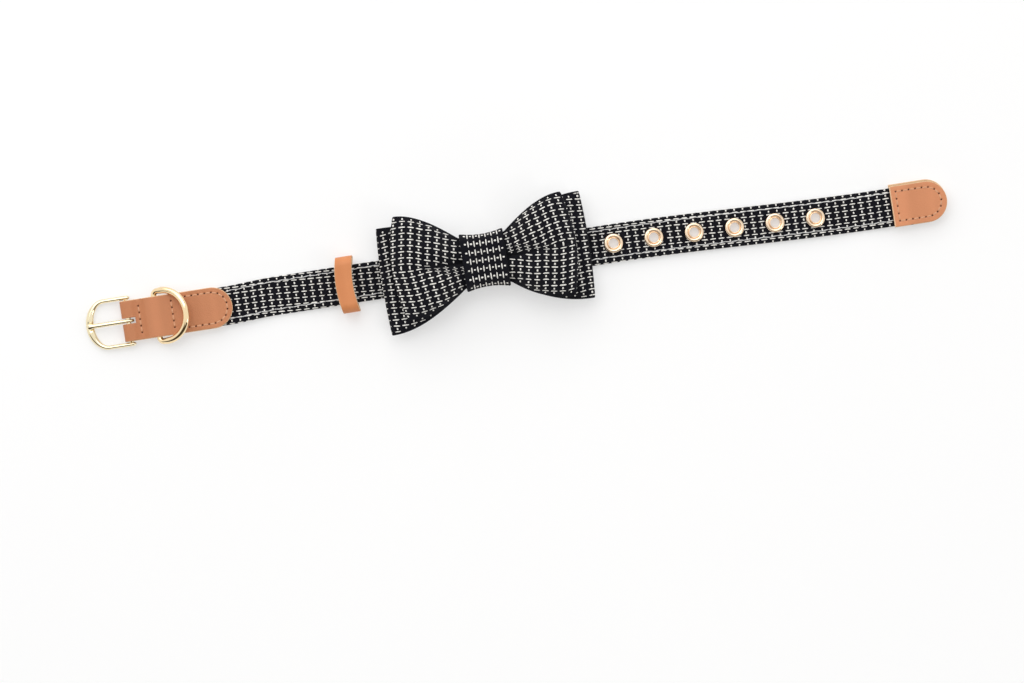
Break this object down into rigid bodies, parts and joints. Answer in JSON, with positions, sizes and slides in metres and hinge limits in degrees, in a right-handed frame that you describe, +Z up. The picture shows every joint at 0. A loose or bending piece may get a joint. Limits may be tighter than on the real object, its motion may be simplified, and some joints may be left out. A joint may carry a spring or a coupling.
{
  "type": "pet bow tie collar",
  "caption": "Small cloth pet collar with leather ends, pin buckle, leash ring, leather keeper, eyelets and a two-layer cloth bow tie, lying open and flat.",
  "frame": {"origin": "centre of the bottom of the whole collar's box, on the surface it lies on", "axes": "+X along the strap from the buckle to the tip, +Y across it, +Z up, away from the surface and out of the bow's front"},
  "size_m": [0.3476, 0.046, 0.0185],
  "materials": {
    "strap_cloth": "black plain weave with an off-white thread grid, lines of top stitching along both edges",
    "bow_cloth": "black plain weave with an off-white thread grid",
    "leather": "tan leather, smooth matt face, paler cut edges, pricked stitch holes with tan thread",
    "buckle_metal": "polished pale gold plating",
    "ring_metal": "polished gold plating",
    "eyelet_metal": "polished rose gold plating"
  },
  "bodies": {
    "collar": {"strap": "strap_cloth", "eyelet_1": "eyelet_metal", "eyelet_2": "eyelet_metal", "eyelet_3": "eyelet_metal", "eyelet_4": "eyelet_metal", "eyelet_5": "eyelet_metal", "eyelet_6": "eyelet_metal", "buckle_leather": "leather", "tip_leather_back": "leather", "tip_leather_front": "leather", "keeper_loop": "leather", "bow_lower": "bow_cloth", "bow_upper": "bow_cloth", "bow_knot": "bow_cloth"},
    "buckle": {"buckle_frame": "buckle_metal"},
    "tongue": {"prong": "buckle_metal"},
    "leash_ring": {"d_ring": "ring_metal"}
  },
  "joints": [
    {"name": "buckle_hinge", "type": "hinge", "parent": "collar", "child": "buckle", "pos_m": [-0.15659, -0.00132, 0.0025], "axis": [0, 1, 0], "range_deg": [-60, 25]},
    {"name": "prong_hinge", "type": "hinge", "parent": "buckle", "child": "tongue", "pos_m": [-0.15659, -0.00132, 0.0025], "axis": [0, 1, 0], "range_deg": [0, 75]},
    {"name": "ring_hinge", "type": "hinge", "parent": "collar", "child": "leash_ring", "pos_m": [-0.14519, -0.00132, 0.0025], "axis": [0, -1, 0], "range_deg": [0, 126]}
  ]
}
